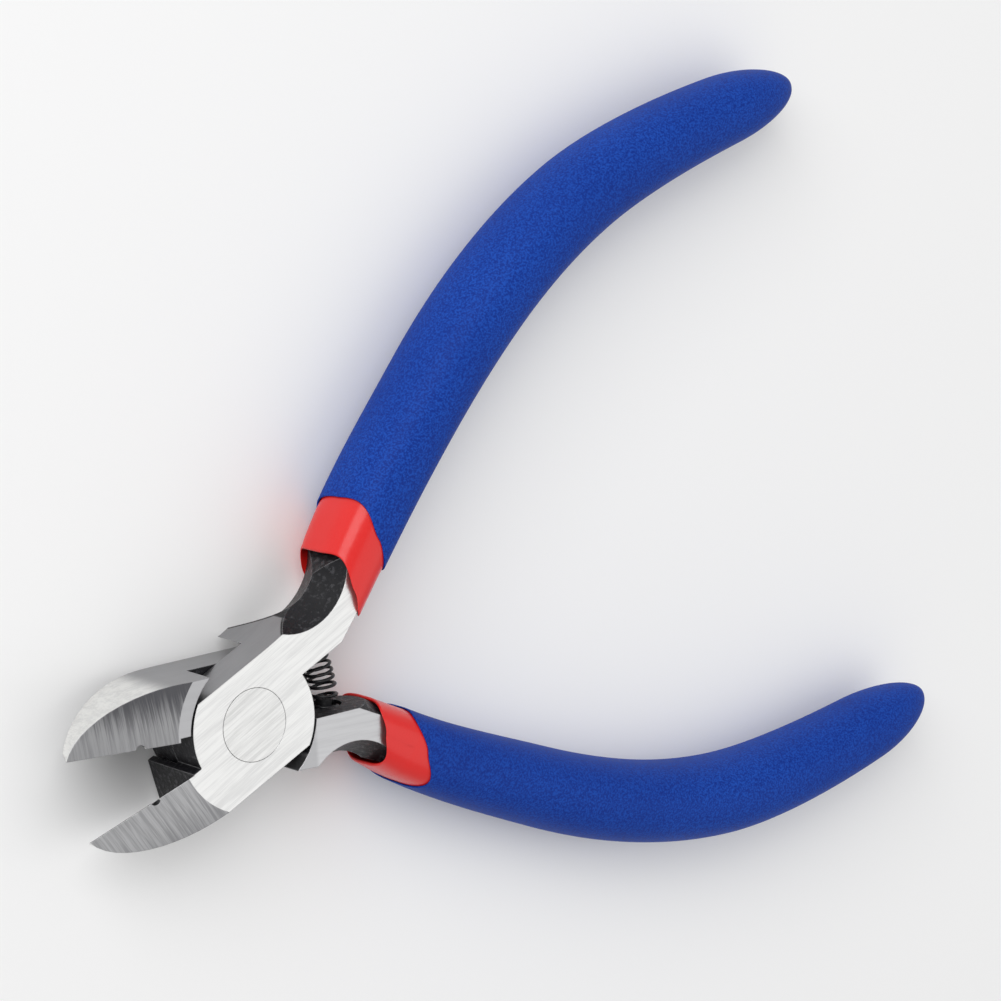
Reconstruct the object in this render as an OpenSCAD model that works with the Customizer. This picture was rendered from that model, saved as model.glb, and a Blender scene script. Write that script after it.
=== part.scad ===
// Flush cut pliers, 5 inch class: two forged halves lapped on a flush rivet, a return spring
// between the handles, and double-dipped grips (a red inner sleeve under a blue outer grip).
// Frame: the pliers lie flat. The pivot axis is Z, z = 0 is the rear ground face of the joint,
// the jaws point to -X and the handles to +X. The rest pose is open, held by the spring.
// Each half is drawn closed, with its cutting edge on the -X axis, and then swung open.

/* [Head] */
// Thickness between the two ground faces of the head
head_t = 9.4; // [9.2:0.1:9.8]
// Width of the straight waist across the joint
waist_w = 13; // [12.6:0.1:13.2]
// Radius of the lapped disc of the joint
lap_r = 8.1; // [8:0.05:8.2]
// Angle that each half is swung open at rest
open_angle = 12.5; // [11:0.5:13]

/* [Jaws] */
// Distance from the pivot to the tip of the jaws
jaw_tip_r = 22.5; // [21.5:0.5:23.5]
// Fall of the flush face for each millimetre towards the tip
flush_slope = 0.25; // [0.22:0.01:0.28]
// Slant of the bevel behind each cutting edge, across for each millimetre of depth
bevel_slant = 0.6; // [0.5:0.05:0.7]
// Diameter of the wire stripping hole that the two notches form
strip_hole_d = 1.1; // [0.8:0.1:1.4]

/* [Rivet and spring] */
// Diameter of the flush rivet heads
rivet_head_d = 8.3; // [7.6:0.1:8.6]
// Diameter of the rivet shank
rivet_shank_d = 5.2; // [4.6:0.1:5.6]
// Mean diameter of the spring's coil
coil_d = 3.2; // [3:0.1:3.4]
// Diameter of the spring wire
wire_d = 0.36; // [0.3:0.02:0.4]
// Number of turns of the spring
turns = 8; // [6:1:9]

/* [Grips] */
// Half width of the grip at its middle, across the handle
grip_half_w = 4.95; // [4.8:0.05:5.1]
// Thickness of the grip against its width
grip_ratio = 1.17; // [1.12:0.01:1.22]

/* [Hidden] */
$fn = 72;
eps = 0.5;

mid_z = head_t / 2;
half_w = waist_w / 2;
lap_gap = 0.1;
pocket_r = lap_r + 0.3;
// Radius where the flat of the joint ends and the jaw faces start
ring_r = 10;
// Each cutting edge stays this far short of the line where the edges meet
edge_gap = 0.03;
// Height of the narrow land left along the cutting edge
edge_land = 0.1;
running_fit = 0.05;
rivet_head_t = 1.3;

// Inner face of the handles beside the spring, measured closed
inner_y = 1.05;
shoulder_y = 6.6;
// The inner face bends outwards here and is crowned from there to the sleeve
bend_x = 14.2;
bend_angle = 26.5;
crown_r = 6.5;
// Middle of the crown and ridge of the scoop, as the rear of the handle slopes up to the sleeve
root_z = mid_z + 0.85;
relief_x = 9;
relief_slope = 0.15;
strip_r = 14.25;
// Step back of the rear half's edge beside the joint
throat_relief = 0.5;

// Spring seats and pegs, on the inner face of each handle
seat_x = 12.6;
seat_depth = 0.7;
seat_r = 2.05;
peg_r = 0.9;
peg_tip_y = 0.25;
peg_root_y = 3;

// Scoop on the outer side of each handle, between the head and the grip
scoop_c = [13, 11.9];
scoop_face_r = 7.2;
scoop_mid_r = 5.3;

// Middle line of a handle, closed: two Bezier curves that meet on one tangent
handle_a = [[18.1, 4.1], [34.5, 14.6], [52, 23.7], [69.9, 24.4]];
handle_b = [[69.9, 24.4], [79, 24.76], [93, 21.9], [104.6, 18.4]];
tang_inner = 1.7;
tang_outer = 4.3;
tang_t = 5;
tang_z = mid_z + 0.5;
// Inside the sleeve the handle steps down to its tang
step_s = 0.08;
// The section starts this far outwards and forwards of the middle line
lead_out = 1;
lead_up = 1.05;
tang_end = 1.7;
grip_sides = 24;
// Below 1 the grip's section is fuller than an ellipse
section_power = 0.92;

function bezier(p, t) = pow(1 - t, 3) * p[0] + 3 * pow(1 - t, 2) * t * p[1]
    + 3 * (1 - t) * t * t * p[2] + pow(t, 3) * p[3];
function bezier_slope(p, t) = 3 * pow(1 - t, 2) * (p[1] - p[0])
    + 6 * (1 - t) * t * (p[2] - p[1]) + 3 * t * t * (p[3] - p[2]);
function arc(r, from, to, steps) =
    [for (i = [0:steps]) let (a = from + (to - from) * i / steps) r * [cos(a), sin(a)]];

// Middle line at s, which runs from 0 at the sleeve's mouth to 2 at the grip's end
function middle(s) = s < 1 ? bezier(handle_a, s) : bezier(handle_b, s - 1);
function heading(s) = let (v = s < 1 ? bezier_slope(handle_a, s) : bezier_slope(handle_b, s - 1))
    v / norm(v);
function beside(s, off) = middle(s) + off * [-heading(s)[1], heading(s)[0]];

function tang_outside(s) = tang_outer - 0.9 * min(1, s / 0.085) - 0.8 * s;
tang_s = [for (i = [1:20]) tang_end * i / 20];

// Height of the crown's middle over the line through its bend, and a line just clear of it
crown_h = sqrt(pow(crown_r, 2) - pow(head_t - root_z, 2));
clear_h = crown_r - crown_h + 0.2;
function clear_line(d) = [bend_x, inner_y] + d * [cos(bend_angle), sin(bend_angle)]
    + clear_h * [sin(bend_angle), -cos(bend_angle)];

jaw_outer = [[-ring_r + 1.5, -half_w], [-14.5, -half_w], [-jaw_tip_r + 1.2, -4], [-jaw_tip_r, 0]];

// Outline of one half, closed, with the jaw below the edge line and the handle above it
function half_outline() = concat(
    [for (i = [12:-1:0]) bezier(jaw_outer, i / 12)],
    arc(lap_r, -asin(half_w / lap_r), asin(inner_y / lap_r), 16),
    [clear_line(clear_h / tan(bend_angle)), clear_line(5.3)],
    [for (s = tang_s) beside(s, -tang_inner)],
    [for (i = [19:-1:0]) beside(tang_s[i], tang_outside(tang_s[i]))],
    [beside(0, tang_outer)],
    [[13, shoulder_y], [8, shoulder_y], [6, half_w]],
    arc(lap_r, 180 - asin(half_w / lap_r), 180, 12)
);

// Height of the rear of the jaw, which curves up towards the tip
function rear_rise(r) = 0.029 * pow(max(0, r - ring_r + 1), 2);

// Solid of revolution that the jaws are ground to, front and rear
module jaw_envelope() {
    far_r = jaw_tip_r + 0.3;
    rear = [for (i = [12:-1:0]) let (r = ring_r - 1 + (far_r - ring_r + 1) * i / 12)
        [r, rear_rise(r)]];
    rotate_extrude($fn = 144)
        polygon(concat([[0, 0], [0, head_t], [ring_r, head_t]],
            [[far_r, head_t - flush_slope * (far_r - ring_r)]], rear));
}

// Everything on the head's side of the step, or beyond it
module step_side(beyond) {
    h = heading(step_s);
    translate(middle(step_s)) rotate([0, 0, atan2(h[1], h[0])])
        translate([beyond ? -0.01 : -60, -60, -eps]) cube([beyond ? 120 : 60, 120, head_t + 2 * eps]);
}

// Round bar that crowns the inner face of the handle, with the bulk of the handle beside it
module crown() {
    translate([bend_x, inner_y, root_z]) rotate([0, 0, bend_angle]) {
        translate([-12, crown_h, 0]) rotate([0, 90, 0]) cylinder(r = crown_r, h = 30, $fn = 144);
        translate([-12, crown_h, -crown_r]) cube([30, 30, 2 * crown_r]);
    }
}

// Full thickness at the joint, sloped at the rear as far as the step, and a thin tang beyond it
module handle_envelope() {
    difference() {
        union() {
            translate([0, -20, 0]) cube([bend_x - 2, 60, head_t]);
            intersection() {
                crown();
                translate([bend_x - 3, -20, 0]) cube([30, 60, head_t]);
                step_side(false);
            }
        }
        translate([relief_x, -30, 0]) rotate([0, -atan(relief_slope), 0]) translate([-eps, 0, -10])
            cube([20, 80, 10]);
    }
    intersection() {
        translate([relief_x, -20, tang_z - tang_t / 2]) cube([110, 80, tang_t]);
        step_side(true);
    }
}

// Space behind the flush face, so that each cutting edge is a sharp wedge
module bevel_cut() {
    n = [bevel_slant * flush_slope, 1, -bevel_slant];
    tilt = acos(n[2] / norm(n));
    intersection() {
        translate([-ring_r, -edge_gap, head_t - edge_land]) rotate([0, tilt, atan2(n[1], n[0])])
                translate([-40, -40, 0]) cube([80, 80, 30]);
        rotate([0, 0, -open_angle]) translate([-60 - ring_r + 1, -30, -eps])
            cube([60, 60, head_t + 2 * eps]);
    }
}

// Waisted cutter that leaves a ridge along the side of the handle
module scoop_cut() {
    flare = (scoop_face_r - scoop_mid_r) / (head_t - root_z);
    translate(scoop_c) rotate_extrude()
        polygon([[0, -eps], [scoop_mid_r + flare * (root_z + eps), -eps], [scoop_mid_r, root_z],
            [scoop_face_r + flare * eps, head_t + eps], [0, head_t + eps]]);
}

module spring_seat_cut() {
    translate([seat_x, inner_y + seat_depth, mid_z]) rotate([90, 0, 0])
        cylinder(r = seat_r, h = 3);
    translate([seat_x, peg_root_y, mid_z]) rotate([90, 0, 0])
        cylinder(r = peg_r, h = peg_root_y);
}

// One forged half, closed. The front half laps over the front of the joint, the rear one behind.
module forged_half(front) {
    low = front ? -eps : mid_z - lap_gap / 2;
    high = front ? mid_z + lap_gap / 2 : head_t + eps;
    head_r = rivet_head_d / 2 + (front ? running_fit : 0);
    shank_r = rivet_shank_d / 2 + (front ? running_fit : 0);
    head_z = front ? head_t - rivet_head_t - running_fit : -eps;
    difference() {
        intersection() {
            linear_extrude(head_t) polygon(half_outline());
            union() {
                intersection() {
                    jaw_envelope();
                    translate([-40, -40, -eps]) cube([40 + eps, 80, head_t + 2 * eps]);
                }
                handle_envelope();
            }
        }
        translate([0, 0, low]) cylinder(r = pocket_r, h = high - low, $fn = 144);
        translate([-40, -edge_gap, -eps]) cube([40 - lap_r, 10, head_t + 2 * eps]);
        if (!front) translate([-ring_r + 0.3, -throat_relief, -eps])
            cube([ring_r, throat_relief, head_t + 2 * eps]);
        bevel_cut();
        translate([-strip_r, 0, -eps]) cylinder(d = strip_hole_d, h = head_t + 2 * eps);
        scoop_cut();
        spring_seat_cut();
        translate([0, 0, -eps]) cylinder(r = shank_r, h = head_t + 2 * eps);
        translate([0, 0, head_z]) cylinder(r = head_r, h = rivet_head_t + running_fit + eps);
    }
}

// Places a closed child: the front half's swings one way, the rear half's is its mirror image
module swing(front) {
    if (front) rotate([0, 0, open_angle]) children();
    else mirror([0, 1, 0]) rotate([0, 0, open_angle]) children();
}

module spring_peg() {
    color("#1c1c1f") translate([seat_x, peg_root_y, mid_z]) rotate([90, 0, 0])
        cylinder(r = peg_r, h = peg_root_y - peg_tip_y);
}

// How far the section at s still follows the handle's root, from 1 at the mouth to 0
function lead(s) = let (x = min(1, max(0, 1 - (s - 0.05) / 0.42))) x * x * (3 - 2 * x);

// Half width and half thickness of the grip's section at s
function grip_w(s) = grip_half_w - pow(max(0, 1 - s / 0.7), 2) - 0.95 * pow(max(0, s - 0.8), 2);
function grip_t(s) = grip_w(s) * grip_ratio - 0.35 * lead(s);

// One ring of a grip: a rounded section whose dip line leans by lean and sags by sag at the faces
function grip_ring(s, w, t, lean, sag) = let (power = section_power - 0.16 * lead(s))
    [for (i = [0:grip_sides - 1])
        let (a = 360 * i / grip_sides,
             across = w * sign(cos(a)) * pow(abs(cos(a)), power) + lead_out * lead(s),
             up = t * sign(sin(a)) * pow(abs(sin(a)), power) + lead_up * lead(s),
             p = beside(s + lean * cos(a) + sag * pow(sin(a), 2), across))
        [p[0], p[1], mid_z + up]];

// Solid skin around a list of rings, closed at both ends
module loft(rings) {
    n = len(rings[0]);
    m = len(rings);
    polyhedron(
        points = [for (r = rings) each r],
        faces = concat(
            [[for (i = [0:n - 1]) i]],
            [for (k = [0:m - 2], i = [0:n - 1]) [k * n + i, k * n + n + i, k * n + (i + 1) % n]],
            [for (k = [0:m - 2], i = [0:n - 1])
                [k * n + (i + 1) % n, k * n + n + i, k * n + n + (i + 1) % n]],
            [[for (i = [n - 1:-1:0]) (m - 1) * n + i]]));
}

// How far the sleeve lies inside the grip's own surface, least at the dip line
function inset(s) = 0.2 + 2 * max(0, 0.08 - s) + 3 * min(0.25, max(0, s - 0.1));
sleeve_s = [-0.01, 0.03, 0.07, 0.12, 0.16, 0.2, 0.28, 0.36, 0.5, 0.65, 0.8, 0.95, 1.1, 1.25, 1.4, 1.55,
    1.7, 1.8];
grip_s = [0.09, 0.13, 0.2, 0.3, 0.42, 0.54, 0.66, 0.78, 0.9, 1, 1.1, 1.22, 1.34, 1.46, 1.58, 1.7,
    1.8, 1.88, 1.94, 1.98];

function sleeve_rings() = [for (s = sleeve_s)
    let (fade = max(0, 1 - (s - sleeve_s[0]) / 0.35))
    grip_ring(s, grip_w(s) - inset(s), max(s < 0.2 ? 4.25 : 0, grip_t(s) - inset(s)),
        0.035 * fade, 0.02 * fade)];
function grip_rings() = [for (s = grip_s)
    let (fade = max(0, 1 - (s - grip_s[0]) / 0.35),
         round_off = sqrt(1 - pow(max(0, s - 1.72) / 0.28, 2)))
    grip_ring(s, grip_w(s) * round_off, grip_t(s) * round_off, 0.05 * fade, 0.03 * fade)];

// Bar that the sleeve is dipped over, the same as the tang of the forged half
module tang_bar() {
    difference() {
        intersection() {
            linear_extrude(head_t) polygon(half_outline());
            handle_envelope();
        }
        scoop_cut();
    }
}

module inner_sleeve() {
    color("#c8201c") difference() {
        loft(sleeve_rings());
        tang_bar();
    }
}

module outer_grip() {
    color("#1238a0") difference() {
        loft(grip_rings());
        loft(sleeve_rings());
    }
}

// Middle line of the spring, bent so that each end is square to its seat
module spring() {
    seat = [seat_x, inner_y + seat_depth - wire_d / 2 - 0.02];
    end = [seat[0] * cos(open_angle) - seat[1] * sin(open_angle),
           seat[0] * sin(open_angle) + seat[1] * cos(open_angle)];
    bend_r = end[1] / sin(open_angle);
    centre_x = end[0] - bend_r * cos(open_angle);
    steps = 14 * turns;
    sides = 6;
    // The wire's angle along the bend: the end turns lie closer together
    function along(u) = open_angle * (2 * u - 1 + 0.1 * sin(360 * u));
    function wire_point(u, r, lift) = let (
            a = along(u), turn = 360 * turns * u, out = centre_x + bend_r * cos(a),
            ring = r * cos(turn))
        [out + ring * cos(a) - lift * sin(a), bend_r * sin(a) + ring * sin(a) + lift * cos(a),
         mid_z + r * sin(turn)];
    color("#161618") loft([for (k = [0:steps]) [for (i = [0:sides - 1])
        let (b = 360 * i / sides)
        wire_point(k / steps, coil_d / 2 + wire_d / 2 * cos(b), wire_d / 2 * sin(b))]]);
}

module front_half() { color("#b4b6ba") swing(true) forged_half(true); }
module rear_half() { color("#9a9ca0") swing(false) forged_half(false); }

module pivot_rivet() {
    color("#c8cacd") {
        cylinder(d = rivet_shank_d, h = head_t);
        cylinder(d = rivet_head_d, h = rivet_head_t);
        translate([0, 0, head_t - rivet_head_t]) cylinder(d = rivet_head_d, h = rivet_head_t);
    }
}

front_half();
rear_half();
pivot_rivet();
spring();  // return_spring
swing(true) spring_peg();  // front_spring_peg
swing(false) spring_peg();  // rear_spring_peg
swing(true) inner_sleeve();  // front_inner_sleeve
swing(false) inner_sleeve();  // rear_inner_sleeve
swing(true) outer_grip();  // front_outer_grip
swing(false) outer_grip();  // rear_outer_grip
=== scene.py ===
"""Looks for the flush cut pliers: dipped grips, return spring and steel finishes on the CAD frame.

The pliers lie on their rear side with the pivot axis along Z, the jaws towards -X and the handles
towards +X. Shapes are worked out in millimetres for a closed handle, then swung open and turned
into metres.
"""

import logging
import math
from dataclasses import dataclass, field
from enum import Enum
from typing import Callable

import bpy
import numpy as np
from mathutils import Matrix, Vector

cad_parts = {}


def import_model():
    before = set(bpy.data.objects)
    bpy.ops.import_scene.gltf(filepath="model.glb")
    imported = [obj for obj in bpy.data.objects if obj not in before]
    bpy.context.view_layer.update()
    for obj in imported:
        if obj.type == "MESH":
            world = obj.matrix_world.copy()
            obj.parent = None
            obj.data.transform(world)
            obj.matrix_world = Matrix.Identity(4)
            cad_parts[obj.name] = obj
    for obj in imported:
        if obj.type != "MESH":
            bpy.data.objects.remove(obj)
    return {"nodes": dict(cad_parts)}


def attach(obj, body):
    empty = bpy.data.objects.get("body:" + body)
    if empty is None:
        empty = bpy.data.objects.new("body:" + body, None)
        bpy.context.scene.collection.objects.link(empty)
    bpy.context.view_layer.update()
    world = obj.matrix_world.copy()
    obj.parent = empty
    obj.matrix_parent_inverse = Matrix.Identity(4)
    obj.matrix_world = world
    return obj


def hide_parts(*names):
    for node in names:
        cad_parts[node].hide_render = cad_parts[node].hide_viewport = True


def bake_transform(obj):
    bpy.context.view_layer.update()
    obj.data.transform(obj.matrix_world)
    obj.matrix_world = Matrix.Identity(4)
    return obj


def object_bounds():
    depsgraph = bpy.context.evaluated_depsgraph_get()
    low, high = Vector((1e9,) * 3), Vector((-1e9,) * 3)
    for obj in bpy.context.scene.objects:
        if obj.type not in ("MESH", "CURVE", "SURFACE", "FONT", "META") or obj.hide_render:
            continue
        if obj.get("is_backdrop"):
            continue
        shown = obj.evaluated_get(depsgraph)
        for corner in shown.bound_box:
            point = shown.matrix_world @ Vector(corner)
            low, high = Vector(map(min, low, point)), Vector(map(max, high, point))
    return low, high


MM = 0.001
OPEN_ANGLE = math.radians(12.5)
MID_Z = 4.7
LINE_UNIT = 52.0  # millimetres of handle to one unit of place along the middle line
Socket = bpy.types.NodeSocket
Colour = tuple[float, float, float]
Place = tuple[float, float, float]
Pair = tuple[float, float]


class Side(Enum):
    """Which half of the pliers a piece belongs to."""

    FRONT = "front"
    REAR = "rear"

    @property
    def body(self) -> str:
        """Name of the CAD body that the piece rides on."""
        return f"{self.value}_arm"

    @property
    def sign(self) -> float:
        """1 for the front half and -1 for the rear half, which is its mirror image."""
        return 1.0 if self is Side.FRONT else -1.0


def swing(points: np.ndarray, side: Side) -> np.ndarray:
    """Turns closed points open by the rest angle, mirrors the rear half, and scales to metres.

    Args:
        points: closed coordinates in millimetres, last axis x, y, z.
        side: the half of the pliers.

    Returns:
        Rest coordinates in metres, of the same shape.
    """
    c, s = math.cos(OPEN_ANGLE), math.sin(OPEN_ANGLE)
    x, y, z = points[..., 0], points[..., 1], points[..., 2]
    return np.stack([x * c - y * s, side.sign * (x * s + y * c), z], axis=-1) * MM


def make_piece(name: str, verts: np.ndarray, faces: list[tuple[int, ...]]) -> bpy.types.Object:
    """Makes a smooth mesh object whose faces point outwards.

    The signed volume, a sixth of the sum over triangles of a . (b x c), decides whether the faces
    are turned round.

    Args:
        name: object name.
        verts: vertex coordinates in metres, n by 3.
        faces: corner numbers of each face.

    Returns:
        The linked object.
    """
    tris = np.array([f[:3] for f in faces] + [(f[0], f[2], f[3]) for f in faces if len(f) == 4])
    a, b, c = verts[tris[:, 0]], verts[tris[:, 1]], verts[tris[:, 2]]
    if np.einsum("ij,ij->", a, np.cross(b, c)) < 0:
        faces = [f[::-1] for f in faces]
    mesh = bpy.data.meshes.new(name)
    mesh.from_pydata(verts.tolist(), [], faces)
    mesh.polygons.foreach_set("use_smooth", np.ones(len(mesh.polygons), dtype=bool))
    mesh.validate()
    piece = bpy.data.objects.new(name, mesh)
    bpy.context.scene.collection.objects.link(piece)
    return piece


def skin_faces(rows: int, turns: int) -> list[tuple[int, ...]]:
    """Faces of a closed tube of rings, whose vertices run ring by ring and then to the two poles.

    Args:
        rows: number of rings.
        turns: points in a ring.

    Returns:
        Quads between the rings, and a fan of triangles from each end ring to its pole.
    """
    k, i = np.meshgrid(np.arange(rows - 1), np.arange(turns), indexing="ij")
    j = (i + 1) % turns
    quads = np.stack([k * turns + i, k * turns + j, (k + 1) * turns + j, (k + 1) * turns + i], -1)
    faces = [tuple(q) for q in quads.reshape(-1, 4).tolist()]
    i = np.arange(turns)
    j = (i + 1) % turns
    base = (rows - 1) * turns
    first_pole = np.full(turns, rows * turns)
    first_fan = np.stack([j, i, first_pole], -1)
    last_fan = np.stack([base + i, base + j, first_pole + 1], -1)
    faces += [tuple(t) for t in np.concatenate([first_fan, last_fan]).tolist()]
    return faces


# Handle shapes ------------------------------------------------------------------------------------


@dataclass(frozen=True)
class HandleLine:
    """Middle line of a closed handle: two Bezier curves that meet on one tangent."""

    near: tuple = ((18.1, 4.1), (34.5, 14.6), (52.0, 23.7), (69.9, 24.4))
    far: tuple = ((69.9, 24.4), (79.0, 24.76), (93.0, 21.9), (104.6, 18.4))

    def at(self, s: np.ndarray) -> tuple[np.ndarray, np.ndarray]:
        """Points and outward normals of the line, each cubic weighted by powers of t and 1 - t.

        Args:
            s: place along the line, 0 at the sleeve's mouth and 2 at the grip's end.

        Returns:
            The points and the unit normals towards the handle's outer side.
        """
        first = (s < 1)[..., None]
        t = np.where(s < 1, s, s - 1)[..., None]
        p = [np.where(first, np.array(a), np.array(b)) for a, b in zip(self.near, self.far)]
        point = ((1 - t) ** 3 * p[0] + 3 * (1 - t) ** 2 * t * p[1] + 3 * (1 - t) * t**2 * p[2]
                 + t**3 * p[3])
        slope = ((1 - t) ** 2 * (p[1] - p[0]) + 2 * (1 - t) * t * (p[2] - p[1])
                 + t**2 * (p[3] - p[2]))
        slope = slope / np.linalg.norm(slope, axis=-1, keepdims=True)
        return point, np.stack([-slope[..., 1], slope[..., 0]], axis=-1)


@dataclass(frozen=True)
class DipEdge:
    """Line around the handle where a dipped coat ends, as a place along the middle line."""

    middle: float
    lean: float
    pinch: float
    hook: float
    tilt: float
    skew: float

    def at(self, turn: np.ndarray) -> np.ndarray:
        """Place of the edge: the middle plus cosines of 1, 2 and 3 turns and sines of 1 and 2.

        Args:
            turn: angle around the section, 0 at the outer side and a quarter turn at the front.

        Returns:
            Place along the middle line at each angle.
        """
        return (self.middle + self.lean * np.cos(turn) + self.pinch * np.cos(2 * turn)
                + self.hook * np.cos(3 * turn) + self.tilt * np.sin(turn)
                + self.skew * np.sin(2 * turn))


@dataclass(frozen=True)
class Coat:
    """Thickness of a dipped coat in millimetres, and the places where its outer skin closes."""

    wall: float
    lip: float
    start: float
    end: float
    floor_t: float = 0.0


@dataclass
class DippedHandle:
    """Red inner sleeve and blue outer grip of one handle.

    Names with from, to, over or gap are places along the middle line, or spans of it. The other
    lengths are in millimetres.
    """

    side: Side
    mouth: DipEdge
    dip: DipEdge
    sleeve: Coat = Coat(wall=0.6, lip=0.2, start=1.55, end=1.84, floor_t=4.25)
    grip: Coat = Coat(wall=0.18, lip=0.09, start=1.7, end=1.985)
    half_w: float = 4.93
    ratio: float = 1.17
    fullness: float = 0.92
    lead_from: float = 0.05
    lead_over: float = 0.42
    lead_out: float = 1.0
    lead_up: float = 1.05
    lead_thin: float = 0.35
    lead_square: float = 0.16
    rear_square: float = 0.26
    rear_deepen: float = 0.12
    mouth_taper_to: float = 0.7
    end_taper_from: float = 0.8
    end_taper: float = 0.95
    floor_to: float = 0.2
    sleeve_depth: float = 0.2
    mouth_depth_to: float = 0.08
    mouth_depth_rate: float = 2.0
    under_grip_from: float = 0.14
    under_grip_over: float = 0.25
    under_grip_rate: float = 3.0
    cavity_gap: float = 0.05
    turns: int = 112
    line: HandleLine = field(default_factory=HandleLine)

    def lead(self, s: np.ndarray) -> np.ndarray:
        """Smooth step from 1 at the mouth to 0, by which the section leaves the middle line."""
        x = np.clip(1 - (s - self.lead_from) / self.lead_over, 0, 1)
        return x * x * (3 - 2 * x)

    def width(self, s: np.ndarray) -> np.ndarray:
        """Half width: the widest less a square law towards the mouth and one towards the end."""
        return (self.half_w - np.maximum(0, 1 - s / self.mouth_taper_to) ** 2
                - self.end_taper * np.maximum(0, s - self.end_taper_from) ** 2)

    def sleeve_inset(self, s: np.ndarray) -> np.ndarray:
        """Depth of the sleeve below the grip's surface: deeper at the mouth and under the grip.

        Args:
            s: place along the handle.

        Returns:
            Depth in millimetres.
        """
        at_mouth = self.mouth_depth_rate * np.maximum(0, self.mouth_depth_to - s)
        under_grip = self.under_grip_rate * np.clip(s - self.under_grip_from, 0,
                                                    self.under_grip_over)
        return self.sleeve_depth + at_mouth + under_grip

    def section(self, s: np.ndarray, turn: np.ndarray, inset: np.ndarray, start: float,
                end: float, floor_t: float) -> np.ndarray:
        """Points of the rounded section, each axis a power of the angle's cosine or sine.

        Near the mouth the rear side is squarer and deeper, to cover the root of the tang. The
        section shrinks by a quarter ellipse between start and end, where it closes.

        Args:
            s: place along the handle of every point.
            turn: angle around the section of every point.
            inset: depth below the grip's own surface.
            start: place where the rounded end starts.
            end: place where the end closes.
            floor_t: least half thickness near the mouth.

        Returns:
            Rest coordinates in metres.
        """
        lead = self.lead(s)
        shrink = np.sqrt(np.clip(1 - (np.maximum(0, s - start) / (end - start)) ** 2, 0, 1))
        w = (self.width(s) - inset) * shrink
        t = self.width(s) * self.ratio - self.lead_thin * lead - inset
        t = np.where(s < self.floor_to, np.maximum(t, floor_t), t) * shrink
        rear = np.where(np.sin(turn) < 0, lead, 0)
        t = t * (1 + self.rear_deepen * rear)
        power = self.fullness - self.lead_square * lead - self.rear_square * rear
        across = w * np.sign(np.cos(turn)) * np.abs(np.cos(turn)) ** power + self.lead_out * lead
        up = t * np.sign(np.sin(turn)) * np.abs(np.sin(turn)) ** power + self.lead_up * lead
        point, normal = self.line.at(s)
        flat = point + across[..., None] * normal
        return swing(np.concatenate([flat, (MID_Z + up)[..., None]], axis=-1), self.side)

    def dipped(self, name: str, edge: DipEdge, inset: Callable[[np.ndarray], np.ndarray],
               coat: Coat) -> bpy.types.Object:
        """A dipped coat: a cup whose outer skin runs from a rolled lip to a round closed end.

        Rows of rings run from the inner pole along the inner wall, around the lip as half a
        circle, and along the outer skin to the outer pole.

        Args:
            name: object name.
            edge: line that the lip follows.
            inset: depth of the outer skin below the grip's surface, as a function of place.
            coat: thickness and ends of the coat.

        Returns:
            The cup as a closed mesh.
        """
        turn = np.linspace(0, 2 * np.pi, self.turns, endpoint=False)[None, :]
        at_edge = edge.at(turn)
        close_rows, body_rows, dome_rows = 26, 60, 26
        body_from, dome_from = 0.06, 0.84
        dome = np.sin(np.linspace(0, np.pi / 2, dome_rows)[1:-1])
        along = np.concatenate([np.linspace(0, body_from, close_rows)[1:],
                                np.linspace(body_from, dome_from, body_rows)[1:],
                                dome_from + (1 - dome_from) * dome])[:, None]
        inner_end = coat.end - self.cavity_gap
        outer_s = at_edge + along * (coat.end - at_edge)
        inner_s = at_edge + along[::-1] * (inner_end - at_edge)
        roll = np.linspace(math.pi, 0, 9)[:, None]
        depth = min(coat.lip * 2, coat.wall) / 2
        lip_s = at_edge + (coat.lip / LINE_UNIT) * (1 - np.sin(roll))
        lip_in = inset(lip_s) + depth * (1 - np.cos(roll))
        wall_grows_over = 0.03
        growth = np.clip((inner_s - at_edge) / wall_grows_over, 0, 1)
        depth_in = inset(inner_s) + depth * 2 + (coat.wall - depth * 2) * growth
        s = np.concatenate([inner_s, lip_s, outer_s])
        deep = np.concatenate([depth_in, lip_in, inset(outer_s)])
        stop = np.concatenate([np.full(inner_s.shape, inner_end), np.full(lip_s.shape, coat.end),
                               np.full(outer_s.shape, coat.end)])
        turn = np.broadcast_to(turn, s.shape)
        verts = self.section(s, turn, deep, coat.start - (coat.end - stop), stop, coat.floor_t)
        ends = np.array([inner_end, coat.end])
        poles = self.section(ends, np.zeros(2), np.zeros(2), coat.start, ends, 0.0)
        verts = np.concatenate([verts.reshape(-1, 3), poles])
        return make_piece(name, verts, skin_faces(len(s), self.turns))

    def build(self, sleeve_finish: bpy.types.Material, grip_finish: bpy.types.Material) -> None:
        """Builds, dresses and hangs the sleeve and the grip.

        Args:
            sleeve_finish: material of the inner sleeve.
            grip_finish: material of the outer grip.
        """
        name = self.side.value
        sleeve = self.dipped(f"{name}_sleeve", self.mouth, self.sleeve_inset, self.sleeve)
        grip = self.dipped(f"{name}_grip", self.dip, np.zeros_like, self.grip)
        for piece, node, finish, slot in (
                (sleeve, f"{name}_inner_sleeve", sleeve_finish, "red_sleeve"),
                (grip, f"{name}_outer_grip", grip_finish, "blue_grip")):
            piece.data.materials.append(finish)
            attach(piece, self.side.body)
            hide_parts(node)
            logging.info("%s: %d faces", piece.name, len(piece.data.polygons))


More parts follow.
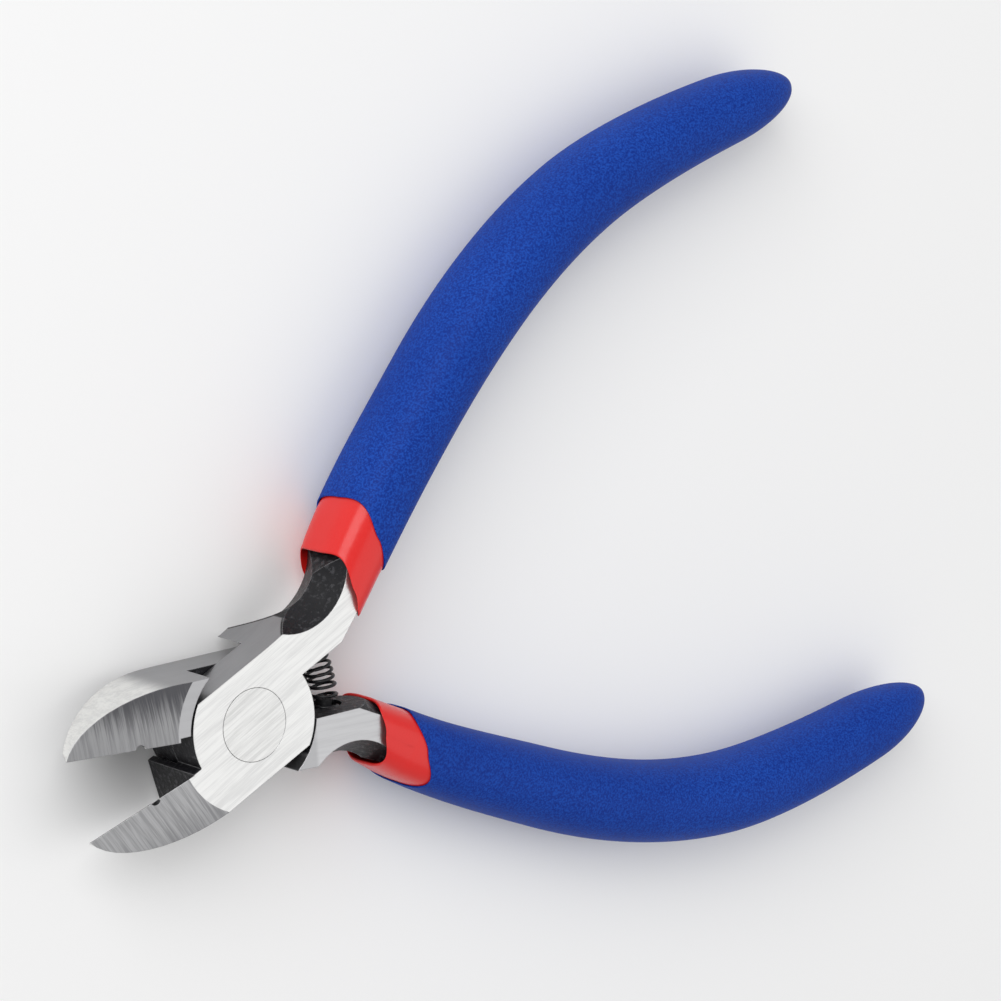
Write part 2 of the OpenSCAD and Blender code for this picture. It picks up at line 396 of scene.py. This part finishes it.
@dataclass
class ReturnSpring:
    """Open coil spring, bent so that each end is square to its seat."""

    seat_x: float = 12.6
    seat_y: float = 1.75
    seat_gap: float = 0.02
    coil_r: float = 1.6
    wire_r: float = 0.19
    end_crowding: float = 0.1
    turns: int = 8
    steps: int = 72
    sides: int = 12

    def build(self, finish: bpy.types.Material) -> None:
        """Sweeps the wire's circle along a helix whose axis is an arc, and closes its ends.

        The helix turns evenly while its angle along the bend follows a straight line plus a small
        sine, so that the end turns lie closer together. Each end of the wire is a small dome.

        Args:
            finish: material of the wire.
        """
        c, s = math.cos(OPEN_ANGLE), math.sin(OPEN_ANGLE)
        y = self.seat_y - self.wire_r - self.seat_gap
        end_x, end_y = self.seat_x * c - y * s, self.seat_x * s + y * c
        bend_r = end_y / s
        centre_x = end_x - bend_r * c
        rows = self.turns * self.steps + 1
        u = np.linspace(0, 1, rows)[:, None]
        a = OPEN_ANGLE * (2 * u - 1 + self.end_crowding * np.sin(2 * np.pi * u))
        b = np.linspace(0, 2 * np.pi, self.sides, endpoint=False)[None, :]
        gap = np.minimum(u, 1 - u) * (rows - 1)
        dome = np.sqrt(np.clip(1 - (1 - np.clip((gap + 0.25) / 2, 0, 1)) ** 2, 0, 1))
        r = self.coil_r + self.wire_r * dome * np.cos(b)
        lift = self.wire_r * dome * np.sin(b)
        turn = 2 * np.pi * self.turns * u
        out = bend_r + r * np.cos(turn)
        verts = np.stack([centre_x + out * np.cos(a) - lift * np.sin(a),
                          out * np.sin(a) + lift * np.cos(a),
                          MID_Z + r * np.sin(turn)], axis=-1)
        poles = verts[[0, -1]].mean(axis=1)
        verts = np.concatenate([verts.reshape(-1, 3), poles]) * MM
        spring = make_piece("coil_spring", verts, skin_faces(rows, self.sides))
        spring.data.materials.append(finish)
        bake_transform(spring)
        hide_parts("return_spring")
        logging.info("%s: %d faces", spring.name, len(spring.data.polygons))


# Finishes -----------------------------------------------------------------------------------------


class Shader:
    """Small helper that adds and links the nodes of one tree."""

    def __init__(self, tree: bpy.types.NodeTree) -> None:
        """Keeps the tree."""
        self.tree = tree

    def put(self, socket: Socket, value: object) -> None:
        """Links a socket to another, or sets its value.

        Args:
            socket: input socket.
            value: output socket, number, or colour of three parts.
        """
        if isinstance(value, bpy.types.NodeSocket):
            self.tree.links.new(value, socket)
        elif isinstance(value, tuple) and len(value) == 3 and socket.type == "RGBA":
            socket.default_value = (*value, 1.0)
        else:
            socket.default_value = value

    def node(self, kind: str, settings: dict | None = None, **inputs: object) -> bpy.types.Node:
        """Adds a node.

        Args:
            kind: Blender's name of the node type, without its ShaderNode prefix.
            settings: attributes of the node.
            **inputs: socket values or links, named as the sockets are with _ for a space.

        Returns:
            The node.
        """
        made = self.tree.nodes.new("ShaderNode" + kind)
        for key, value in (settings or {}).items():
            setattr(made, key, value)
        for key, value in inputs.items():
            self.put(made.inputs[key.replace("_", " ")], value)
        return made

    def math(self, operation: str, *values: object) -> Socket:
        """Adds a Math node.

        Args:
            operation: what the node works out.
            *values: numbers or links, in socket order.

        Returns:
            The result.
        """
        made = self.tree.nodes.new("ShaderNodeMath")
        made.operation = operation
        for i, value in enumerate(values):
            self.put(made.inputs[i], value)
        return made.outputs[0]

    def step(self, value: Socket, low: float, high: float) -> Socket:
        """Smooth step of a value from 0 at low to 1 at high; low may be the greater.

        Args:
            value: link that is stepped.
            low: value that gives 0.
            high: value that gives 1.

        Returns:
            Number from 0 to 1.
        """
        made = self.tree.nodes.new("ShaderNodeMapRange")
        made.interpolation_type = "SMOOTHSTEP"
        turned = low > high
        self.put(made.inputs[0], value)
        made.inputs[1].default_value, made.inputs[2].default_value = sorted((low, high))
        made.inputs[3].default_value = 1.0 if turned else 0.0
        made.inputs[4].default_value = 0.0 if turned else 1.0
        return made.outputs[0]

    def spread(self, value: Socket, low: float, high: float) -> Socket:
        """Straight map of a value from 0..1 to low..high.

        Args:
            value: link from 0 to 1.
            low: result at 0.
            high: result at 1.

        Returns:
            The mapped number.
        """
        made = self.tree.nodes.new("ShaderNodeMapRange")
        self.put(made.inputs[0], value)
        made.inputs[3].default_value = low
        made.inputs[4].default_value = high
        return made.outputs[0]

    def product(self, *values: object) -> Socket:
        """Multiplies several numbers.

        Args:
            *values: numbers or links.

        Returns:
            The product.
        """
        total = values[0]
        for value in values[1:]:
            total = self.math("MULTIPLY", total, value)
        return total

    def highest(self, *values: object) -> Socket:
        """Takes the greatest of several numbers.

        Args:
            *values: numbers or links.

        Returns:
            The greatest.
        """
        total = values[0]
        for value in values[1:]:
            total = self.math("MAXIMUM", total, value)
        return total

    def mix(self, factor: object, a: object, b: object) -> Socket:
        """Mixes two colours.

        Args:
            factor: 0 for the first and 1 for the second.
            a: first colour.
            b: second colour.

        Returns:
            The colour.
        """
        made = self.tree.nodes.new("ShaderNodeMix")
        made.data_type = "RGBA"
        self.put(made.inputs[0], factor)
        self.put(made.inputs[6], a)
        self.put(made.inputs[7], b)
        return made.outputs[2]

    def blend(self, factor: object, a: object, b: object) -> Socket:
        """Mixes two numbers.

        Args:
            factor: 0 for the first and 1 for the second.
            a: first number.
            b: second number.

        Returns:
            The number.
        """
        made = self.tree.nodes.new("ShaderNodeMix")
        self.put(made.inputs[0], factor)
        self.put(made.inputs[2], a)
        self.put(made.inputs[3], b)
        return made.outputs[0]

    def group(self, tree: bpy.types.NodeTree, **inputs: object) -> bpy.types.Node:
        """Places a node group with its own input values.

        Args:
            tree: the group.
            **inputs: socket values or links, with _ for a space.

        Returns:
            The group node.
        """
        made = self.tree.nodes.new("ShaderNodeGroup")
        made.node_tree = tree
        for key, value in inputs.items():
            self.put(made.inputs[key.replace("_", " ")], value)
        return made


def new_group(name: str, inputs: dict[str, tuple[str, object]],
              outputs: dict[str, str]) -> tuple[bpy.types.NodeTree, Shader, dict, bpy.types.Node]:
    """Starts a shader node group.

    Args:
        name: name of the group.
        inputs: socket kind and default of each input.
        outputs: socket kind of each output.

    Returns:
        The tree, its helper, its input sockets by name, and its output node.
    """
    tree = bpy.data.node_groups.new(name, "ShaderNodeTree")
    for key, (kind, default) in inputs.items():
        socket = tree.interface.new_socket(key, in_out="INPUT", socket_type="NodeSocket" + kind)
        if kind == "Float":
            socket.default_value = default
    for key, kind in outputs.items():
        tree.interface.new_socket(key, in_out="OUTPUT", socket_type="NodeSocket" + kind)
    start = tree.nodes.new("NodeGroupInput")
    end = tree.nodes.new("NodeGroupOutput")
    return tree, Shader(tree), {s.name: s for s in start.outputs}, end


class Effects:
    """Shader groups that several finishes share."""

    def __init__(self) -> None:
        """Builds each group once."""
        self.grind = self._grind()
        self.forging = self._forging()
        self.edge_highlight = self._edge_highlight()
        self.pebble = self._pebble()

    def _grind(self) -> bpy.types.NodeTree:
        """Grinding lines: noise stretched along a direction, in a fine and a coarse layer.

        Returns:
            The group.
        """
        tree, n, ins, end = new_group(
            "grinding_lines", {"Vector": ("Vector", None), "Angle": ("Float", 0.0),
                               "Fineness": ("Float", 9000.0)},
            {"Height": "Float", "Shade": "Float"})
        turned = n.node("VectorRotate", {"rotation_type": "Z_AXIS"}, Vector=ins["Vector"],
                        Angle=n.math("MULTIPLY", ins["Angle"], -1.0)).outputs[0]
        fine_at = n.node("VectorMath", {"operation": "MULTIPLY"}).outputs[0]
        n.put(fine_at.node.inputs[0], turned)
        n.put(fine_at.node.inputs[1], (0.035, 1.0, 0.3))
        fine = n.node("TexNoise", Vector=fine_at, Scale=ins["Fineness"], Detail=3.0,
                      Roughness=0.6).outputs[0]
        coarse = n.node("TexNoise", Vector=fine_at,
                        Scale=n.math("MULTIPLY", ins["Fineness"], 0.28), Detail=2.0,
                        Roughness=0.5).outputs[0]
        n.put(end.inputs["Height"], n.blend(0.45, fine, coarse))
        n.put(end.inputs["Shade"], n.step(n.blend(0.5, fine, coarse), 0.38, 0.6))
        return tree

    def _forging(self) -> bpy.types.NodeTree:
        """Orange-peel skin of a forging under black oxide: cell pits over soft noise.

        Returns:
            The group.
        """
        tree, n, ins, end = new_group(
            "forging_skin", {"Vector": ("Vector", None), "Scale": ("Float", 2200.0)},
            {"Height": "Float", "Glint": "Float"})
        noise = n.node("TexNoise", Vector=ins["Vector"], Scale=ins["Scale"], Detail=4.0,
                       Roughness=0.62).outputs[0]
        cells = n.node("TexVoronoi", {"feature": "SMOOTH_F1"}, Vector=ins["Vector"],
                       Scale=n.math("MULTIPLY", ins["Scale"], 0.7)).outputs[0]
        n.put(end.inputs["Height"], n.math("ADD", noise, n.math("MULTIPLY", cells, 0.5)))
        n.put(end.inputs["Glint"], n.step(noise, 0.52, 0.68))
        return tree

    def _edge_highlight(self) -> bpy.types.NodeTree:
        """Painted edge highlight: how far a rounded normal leaves the true one, broken up by noise.

        Returns:
            The group.
        """
        tree, n, ins, end = new_group(
            "painted_edge_highlight", {"Vector": ("Vector", None), "Rounded": ("Vector", None),
                          "Plain": ("Vector", None), "Patchiness": ("Float", 0.4)},
            {"Mask": "Float"})
        dot = n.node("VectorMath", {"operation": "DOT_PRODUCT"})
        n.put(dot.inputs[0], ins["Rounded"])
        n.put(dot.inputs[1], ins["Plain"])
        edge = n.step(dot.outputs["Value"], 0.995, 0.9)
        noise = n.node("TexNoise", Vector=ins["Vector"], Scale=900.0, Detail=3.0).outputs[0]
        rough = n.step(noise, 0.35, 0.6)
        n.put(end.inputs["Mask"], n.math("MULTIPLY", edge, n.blend(ins["Patchiness"], 1.0, rough)))
        return tree

    def _pebble(self) -> bpy.types.NodeTree:
        """Fine grain of a dipped plastic: small rounded cells, with slow drifts of shade.

        Returns:
            The group.
        """
        tree, n, ins, end = new_group(
            "plastic_grain", {"Vector": ("Vector", None), "Scale": ("Float", 2600.0)},
            {"Height": "Float", "Grain": "Float", "Drift": "Float"})
        cells = n.node("TexVoronoi", {"feature": "SMOOTH_F1"}, Vector=ins["Vector"],
                       Scale=ins["Scale"]).outputs[0]
        noise = n.node("TexNoise", Vector=ins["Vector"], Scale=ins["Scale"], Detail=2.0).outputs[0]
        drift = n.node("TexNoise", Vector=ins["Vector"], Scale=60.0, Detail=2.0).outputs[0]
        n.put(end.inputs["Height"], n.math("SUBTRACT", noise, n.math("MULTIPLY", cells, 0.6)))
        n.put(end.inputs["Grain"], n.step(noise, 0.36, 0.66))
        n.put(end.inputs["Drift"], n.step(drift, 0.3, 0.7))
        return tree


def new_material(name: str) -> tuple[bpy.types.Material, Shader, bpy.types.Node]:
    """Starts a node material.

    Args:
        name: name of the material.

    Returns:
        The material, its helper and its Principled BSDF.
    """
    material = bpy.data.materials.new(name)
    material.use_nodes = True
    bsdf = next(n for n in material.node_tree.nodes if n.type == "BSDF_PRINCIPLED")
    return material, Shader(material.node_tree), bsdf


@dataclass(frozen=True)
class Regions:
    """Soft edges of a half's regions: closed places in metres, and parts of the unit normal.

    A scoop is a cone around a line along Z, whose radius grows away from the ridge's height.
    """

    flat_facing: Pair = (0.988, 0.994)
    face_facing: Pair = (0.8, 0.9)
    jaw_x: Pair = (-0.006, -0.0065)
    handle_x: Pair = (0.0078, 0.0084)
    lap_depth: Pair = (0.0034, 0.0032)
    lap_x: Pair = (-0.0088, -0.0084)
    scoop_at: Place = (0.013, 0.0119, 0.0)
    scoop_ridge: float = 0.00555
    scoop_slope: float = 0.494
    scoop_radius: float = 0.00545
    scoop_rim: Pair = (0.0001, 0.0)
    outer_facing: Pair = (0.3, 0.4)
    outer_x: Pair = (0.0103, 0.0106)
    seat_y: Pair = (0.0021, 0.0019)
    seat_x: Pair = (0.0095, 0.0097)
    inner_facing: Pair = (-0.25, -0.4)
    inner_x: Pair = (0.0065, 0.007)
    throat_facing: Pair = (-0.4, -0.6)
    throat_joint_x: Pair = (-0.004, -0.0042)
    throat_jaw_x: Pair = (-0.0108, -0.0104)
    bevel_facing: Pair = (0.35, 0.5)
    bevel_x: Pair = (-0.005, -0.006)
    back_x: Pair = (-0.0095, -0.0128)
    # Border of the painted shade on the jaw towards the cutting edge, and how much that border
    # frays.
    cut_edge_y: Pair = (-0.0052, -0.0008)
    cut_edge_fray: float = 0.0014


@dataclass(frozen=True)
class HalfSteel:
    """Finish of a forged half: ground bright at the faces, black oxide where it is left forged."""

    side: Side
    ground: Colour
    handle: Colour
    jaw: Colour
    # Painted shade on the jaw's outer side, away from the cutting edge.
    jaw_shade: Colour
    wall: Colour = (0.3, 0.3, 0.31)
    back: Colour = (0.86, 0.86, 0.84)
    oxide: Colour = (0.005, 0.005, 0.007)
    glint: Colour = (0.045, 0.045, 0.05)
    scratch: Colour = (0.42, 0.42, 0.43)
    jaw_scratch: Colour = (0.1, 0.1, 0.11)
    # Colour of the painted highlight along edges.
    highlit_edge: Colour = (0.55, 0.55, 0.56)
    face_lines: float = 0.03
    jaw_lines: float = 1.7
    at: Regions = Regions()

    def build(self, fx: Effects) -> bpy.types.Material:
        """Makes the material, whose regions come from the closed place and the surface's direction.

        Args:
            fx: the shared effects.

        Returns:
            The material.
        """
        at = self.at
        material, n, bsdf = new_material(f"{self.side.value}_half_steel")
        place = n.node("TexCoord")
        lay = {"Scale": (1.0, self.side.sign, 1.0), "Rotation": (0.0, 0.0, -OPEN_ANGLE)}
        closed = n.node("Mapping", {"vector_type": "POINT"}, Vector=place.outputs["Object"], **lay)
        facing = n.node("Mapping", {"vector_type": "VECTOR"}, Vector=place.outputs["Normal"], **lay)
        p = n.node("SeparateXYZ", Vector=closed.outputs[0]).outputs
        d = n.node("SeparateXYZ", Vector=facing.outputs[0]).outputs
        flat = n.step(n.math("ABSOLUTE", d[2]), *at.flat_facing)
        face = n.step(n.math("ABSOLUTE", d[2]), *at.face_facing)
        wall = n.math("SUBTRACT", 1.0, face)
        jaw_part = n.product(n.step(p[0], *at.jaw_x), n.math("SUBTRACT", 1.0, flat), face)
        handle_part = n.step(p[0], *at.handle_x)
        depth = n.math("ABSOLUTE", n.math("SUBTRACT", p[2], MID_Z * MM))
        lap = n.product(face, n.step(depth, *at.lap_depth), n.step(p[0], *at.lap_x))
        ridge = n.math("ABSOLUTE", n.math("SUBTRACT", p[2], at.scoop_ridge))
        cone = n.math("ADD", n.math("MULTIPLY", ridge, at.scoop_slope), at.scoop_radius)
        spot = n.node("CombineXYZ", X=p[0], Y=p[1]).outputs[0]
        reach = n.node("VectorMath", {"operation": "DISTANCE"}, Vector=spot)
        reach.inputs[1].default_value = at.scoop_at
        beyond = n.math("SUBTRACT", reach.outputs["Value"], cone)
        scoop = n.product(wall, n.step(beyond, *at.scoop_rim))
        outside = n.product(wall, n.step(d[1], *at.outer_facing), n.step(p[0], *at.outer_x))
        seat = n.product(n.step(p[1], *at.seat_y), n.step(p[0], *at.seat_x))
        inner = n.product(wall, n.step(d[1], *at.inner_facing), n.step(p[0], *at.inner_x))
        throat = n.product(wall, n.step(d[0], *at.throat_facing), n.step(p[0], *at.throat_joint_x),
                           n.step(p[0], *at.throat_jaw_x))
        bevel = n.product(n.step(d[1], *at.bevel_facing), n.step(p[0], *at.bevel_x))
        black = n.highest(lap, scoop, outside, n.product(wall, seat), inner, throat, bevel)
        lines = n.group(fx.grind, Vector=closed.outputs[0], Angle=self.face_lines, Fineness=8200.0)
        rough_lines = n.group(fx.grind, Vector=closed.outputs[0], Angle=self.jaw_lines,
                              Fineness=7200.0)
        skin = n.group(fx.forging, Vector=closed.outputs[0], Scale=1700.0)
        shade = n.blend(jaw_part, lines.outputs["Shade"], rough_lines.outputs["Shade"])
        side_tone = n.mix(n.step(p[0], *at.back_x), self.wall, self.back)
        # Painted shade across the jaw: the colour darkens from the cutting edge towards the jaw's
        # outer side.
        fray = n.math("MULTIPLY", rough_lines.outputs["Shade"], at.cut_edge_fray)
        jaw_shade_fade = n.step(n.math("ADD", p[1], fray), *at.cut_edge_y)
        tone = n.mix(handle_part, self.ground, self.handle)
        tone = n.mix(jaw_part, tone, n.mix(jaw_shade_fade, self.jaw_shade, self.jaw))
        tone = n.mix(face, side_tone, tone)
        dull = n.product(n.math("SUBTRACT", 1.0, shade), n.blend(jaw_part, 0.26, 0.34))
        tone = n.mix(dull, tone, n.mix(jaw_part, self.scratch, self.jaw_scratch))
        dark = n.mix(skin.outputs["Glint"], self.oxide, self.glint)
        rounded = n.node("Bevel", {"samples": 4}, Radius=0.00014).outputs[0]
        true_normal = n.node("NewGeometry").outputs["Normal"]
        # Painted edge highlight: along edges the colour is pulled half way towards light grey,
        # which lights up the black oxide edges.
        highlit_edge = n.group(fx.edge_highlight, Vector=closed.outputs[0], Rounded=rounded, Plain=true_normal)
        colour = n.mix(black, tone, dark)
        colour = n.mix(n.math("MULTIPLY", highlit_edge.outputs["Mask"], 0.5), colour, self.highlit_edge)
        n.put(bsdf.inputs["Base Color"], colour)
        steel_rough = n.blend(jaw_part, n.spread(lines.outputs["Shade"], 0.38, 0.3),
                              n.spread(rough_lines.outputs["Shade"], 0.46, 0.36))
        n.put(bsdf.inputs["Roughness"],
              n.blend(black, steel_rough, n.spread(skin.outputs["Glint"], 0.46, 0.26)))
        n.put(bsdf.inputs["Metallic"], n.blend(black, 0.95, 0.1))
        bsdf.inputs["Specular IOR Level"].default_value = 0.35
        height = n.blend(black, n.blend(jaw_part, lines.outputs["Height"],
                                        rough_lines.outputs["Height"]),
                         n.math("MULTIPLY", skin.outputs["Height"], 16.0))
        bump = n.node("Bump", Strength=0.5, Distance=0.000012, Height=height, Normal=rounded)
        n.put(bsdf.inputs["Normal"], bump.outputs[0])
        return material


@dataclass(frozen=True)
class PlainSteel:
    """Finish of a small steel piece: the rivet, a peg or the spring wire."""

    name: str
    colour: Colour
    roughness: float
    metallic: float
    lines: float
    line_angle: float

    def build(self, fx: Effects) -> bpy.types.Material:
        """Makes the material with faint grinding lines and faint painted highlights on the
        forging's ridges.

        Args:
            fx: the shared effects.

        Returns:
            The material.
        """
        material, n, bsdf = new_material(self.name)
        place = n.node("TexCoord").outputs["Object"]
        lines = n.group(fx.grind, Vector=place, Angle=self.line_angle, Fineness=8200.0)
        skin = n.group(fx.forging, Vector=place, Scale=3000.0)
        line_mask = n.math("MULTIPLY", n.math("SUBTRACT", 1.0, lines.outputs["Shade"]), self.lines)
        tone = n.mix(line_mask, self.colour, tuple(c * 0.48 for c in self.colour))
        # Painted highlights: spots on the forging's ridges are lightened a little towards grey.
        tone = n.mix(n.math("MULTIPLY", skin.outputs["Glint"], 0.05), tone, (0.4, 0.4, 0.4))
        n.put(bsdf.inputs["Base Color"], tone)
        n.put(bsdf.inputs["Roughness"],
              n.spread(lines.outputs["Shade"], self.roughness + 0.05, self.roughness - 0.03))
        bsdf.inputs["Metallic"].default_value = self.metallic
        bump = n.node("Bump", Strength=0.4, Distance=0.000008,
                      Height=n.math("ADD", lines.outputs["Height"], skin.outputs["Height"]))
        n.put(bsdf.inputs["Normal"], bump.outputs[0])
        return material


@dataclass(frozen=True)
class DippedPlastic:
    """Finish of a dipped coat: coloured vinyl, from glossy to matt and grained."""

    name: str
    colour: Colour
    light: Colour
    deep: Colour
    roughness: float
    grain: float
    grain_height: float
    coat: float
    specular: float

    def build(self, fx: Effects) -> bpy.types.Material:
        """Makes the material with a fine grain, slow drifts of shade and a light sheen.

        Args:
            fx: the shared effects.

        Returns:
            The material.
        """
        material, n, bsdf = new_material(self.name)
        place = n.node("TexCoord").outputs["Object"]
        grain = n.group(fx.pebble, Vector=place, Scale=4400.0)
        speckle = n.math("MULTIPLY", grain.outputs["Grain"], self.grain)
        tone = n.mix(speckle, self.colour, self.light)
        tone = n.mix(n.math("MULTIPLY", grain.outputs["Drift"], 0.25), tone, self.deep)
        n.put(bsdf.inputs["Base Color"], tone)
        n.put(bsdf.inputs["Roughness"],
              n.spread(grain.outputs["Grain"], self.roughness - 0.04, self.roughness + 0.06))
        bsdf.inputs["Coat Weight"].default_value = self.coat
        bsdf.inputs["Coat Roughness"].default_value = 0.14
        bsdf.inputs["Specular IOR Level"].default_value = self.specular
        bump = n.node("Bump", Strength=0.6, Distance=self.grain_height,
                      Height=grain.outputs["Height"])
        n.put(bsdf.inputs["Normal"], bump.outputs[0])
        return material


# Studio -------------------------------------------------------------------------------------------


@dataclass
class Studio:
    """Pale floor, soft lights and the camera."""

    camera_at: tuple = (-0.2106, 0.1672, 0.3791)
    right: tuple = (0.7586, -0.2300, 0.6097)
    up: tuple = (0.3815, 0.9153, -0.1295)
    lens: float = 148.2
    floor_drop: float = 0.0002
    world: float = 0.56

    def build(self, low: float) -> None:
        """Sets the camera, the floor, the lights and the surrounding light.

        Args:
            low: height of the object's lowest point in metres.
        """
        self._camera()
        self._floor(low - self.floor_drop)
        world = bpy.data.worlds.new("studio_world")
        world.use_nodes = True
        back = world.node_tree.nodes["Background"]
        back.inputs["Color"].default_value = (1.0, 1.0, 1.0, 1.0)
        back.inputs["Strength"].default_value = self.world
        bpy.context.scene.world = world
        self._light("key_panel", (0.42, -0.28, 0.62), 0.7, 1.0)
        self._light("window_panel", (-0.30, 0.55, 0.50), 0.6, 3.7)
        bpy.context.scene.view_settings.view_transform = "Standard"

    def _camera(self) -> None:
        """Places the camera from its right and up axes."""
        x, y = Vector(self.right).normalized(), Vector(self.up)
        z = x.cross(y).normalized()
        y = z.cross(x)
        data = bpy.data.cameras.new("camera")
        data.lens = self.lens
        data.sensor_width = 36.0
        data.clip_start = 0.01
        camera = bpy.data.objects.new("camera", data)
        turn = Matrix((x, y, z)).transposed().to_4x4()
        camera.matrix_world = Matrix.Translation(self.camera_at) @ turn
        bpy.context.scene.collection.objects.link(camera)
        bpy.context.scene.camera = camera

    def _floor(self, height: float) -> None:
        """Lays a plain pale floor.

        Args:
            height: height of the floor in metres.
        """
        half = 3.0
        corners = np.array([(-half, -half, height), (half, -half, height), (half, half, height),
                            (-half, half, height)])
        mesh = bpy.data.meshes.new("floor")
        mesh.from_pydata(corners.tolist(), [], [(0, 1, 2, 3)])
        floor = bpy.data.objects.new("floor", mesh)
        bpy.context.scene.collection.objects.link(floor)
        material, _, bsdf = new_material("pale_floor")
        bsdf.inputs["Base Color"].default_value = (0.93, 0.93, 0.93, 1.0)
        bsdf.inputs["Roughness"].default_value = 0.7
        bsdf.inputs["Specular IOR Level"].default_value = 0.2
        mesh.materials.append(material)
        floor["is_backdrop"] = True

    def _light(self, name: str, at: tuple, size: float, power: float) -> None:
        """Adds a square panel that faces the middle of the pliers.

        Args:
            name: object name.
            at: place in metres.
            size: side of the panel in metres.
            power: power in watts.
        """
        data = bpy.data.lights.new(name, "AREA")
        data.size = size
        data.energy = power
        light = bpy.data.objects.new(name, data)
        aim = Vector((0.04, 0.0, 0.0)) - Vector(at)
        turn = aim.to_track_quat("-Z", "Y").to_matrix().to_4x4()
        light.matrix_world = Matrix.Translation(at) @ turn
        bpy.context.scene.collection.objects.link(light)


def dress(node: bpy.types.Object, finish: bpy.types.Material) -> None:
    """Gives a CAD node a finish in all its material slots.

    Args:
        node: object of the CAD frame.
        finish: its new material.
    """
    if not node.material_slots:
        node.data.materials.append(finish)
    for slot in node.material_slots:
        slot.material = finish


def as_lists(box: tuple) -> list[list[float]]:
    """The two corners of a box as plain lists."""
    return [[float(v) for v in corner] for corner in box]


def main() -> None:
    """Builds and dresses the pliers in order, then lays out the studio."""
    logging.basicConfig(level=logging.INFO, format="%(message)s")
    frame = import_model()
    cad_box = as_lists(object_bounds())
    nodes = frame["nodes"]
    fx = Effects()

    front_steel = HalfSteel(Side.FRONT, ground=(0.78, 0.78, 0.77), handle=(0.78, 0.78, 0.77),
                            jaw=(0.55, 0.55, 0.56), jaw_shade=(0.45, 0.45, 0.46))
    # Painted shade: the rear half is the same steel as the front. Its darker ground, handle and jaw
    # colours stand in for faces tilted away from the light.
    shaded_rear_steel = HalfSteel(Side.REAR, ground=(0.42, 0.42, 0.43), handle=(0.52, 0.52, 0.53),
                           jaw=(0.44, 0.44, 0.45), jaw_shade=(0.13, 0.13, 0.14), jaw_lines=1.48)
    for side, finish in (("front", front_steel), ("rear", shaded_rear_steel)):
        dress(nodes[f"{side}_half"], finish.build(fx))
        logging.info("%s_half: forged steel", side)
    rivet = PlainSteel("rivet_face", colour=(0.78, 0.78, 0.77), roughness=0.36, metallic=0.95,
                       lines=0.3, line_angle=0.245)
    oxide = PlainSteel("black_oxide", colour=(0.012, 0.012, 0.014), roughness=0.42, metallic=0.1,
                       lines=0.1, line_angle=0.0)
    wire = PlainSteel("spring_black", colour=(0.008, 0.008, 0.01), roughness=0.34, metallic=0.1,
                      lines=0.1, line_angle=0.0)
    dress(nodes["pivot_rivet"], rivet.build(fx))
    peg_finish = oxide.build(fx)
    for side in ("front", "rear"):
        dress(nodes[f"{side}_spring_peg"], peg_finish)
    logging.info("pivot_rivet and spring pegs: plain steel")

    red = DippedPlastic("red_vinyl", colour=(0.74, 0.014, 0.012), light=(0.78, 0.024, 0.02),
                        deep=(0.66, 0.012, 0.01), roughness=0.32, grain=0.3,
                        grain_height=0.000003, coat=0.2, specular=0.35).build(fx)
    blue = DippedPlastic("blue_vinyl", colour=(0.001, 0.026, 0.24), light=(0.009, 0.07, 0.42),
                         deep=(0.001, 0.02, 0.2), roughness=0.6, grain=1.0,
                         grain_height=0.00004, coat=0.0, specular=0.15).build(fx)
    DippedHandle(Side.FRONT, DipEdge(0.018, 0.046, 0.004, -0.01, -0.001, 0.002),
                 DipEdge(0.123, 0.049, 0.002, -0.005, 0.003, 0.005)).build(red, blue)
    DippedHandle(Side.REAR, DipEdge(-0.004, 0.037, 0.001, -0.007, -0.002, -0.002),
                 DipEdge(0.085, 0.036, 0.002, -0.005, 0.021, 0.013)).build(red, blue)
    ReturnSpring().build(wire.build(fx))

    Studio().build(cad_box[0][2])


if __name__ == "__main__":
    main()
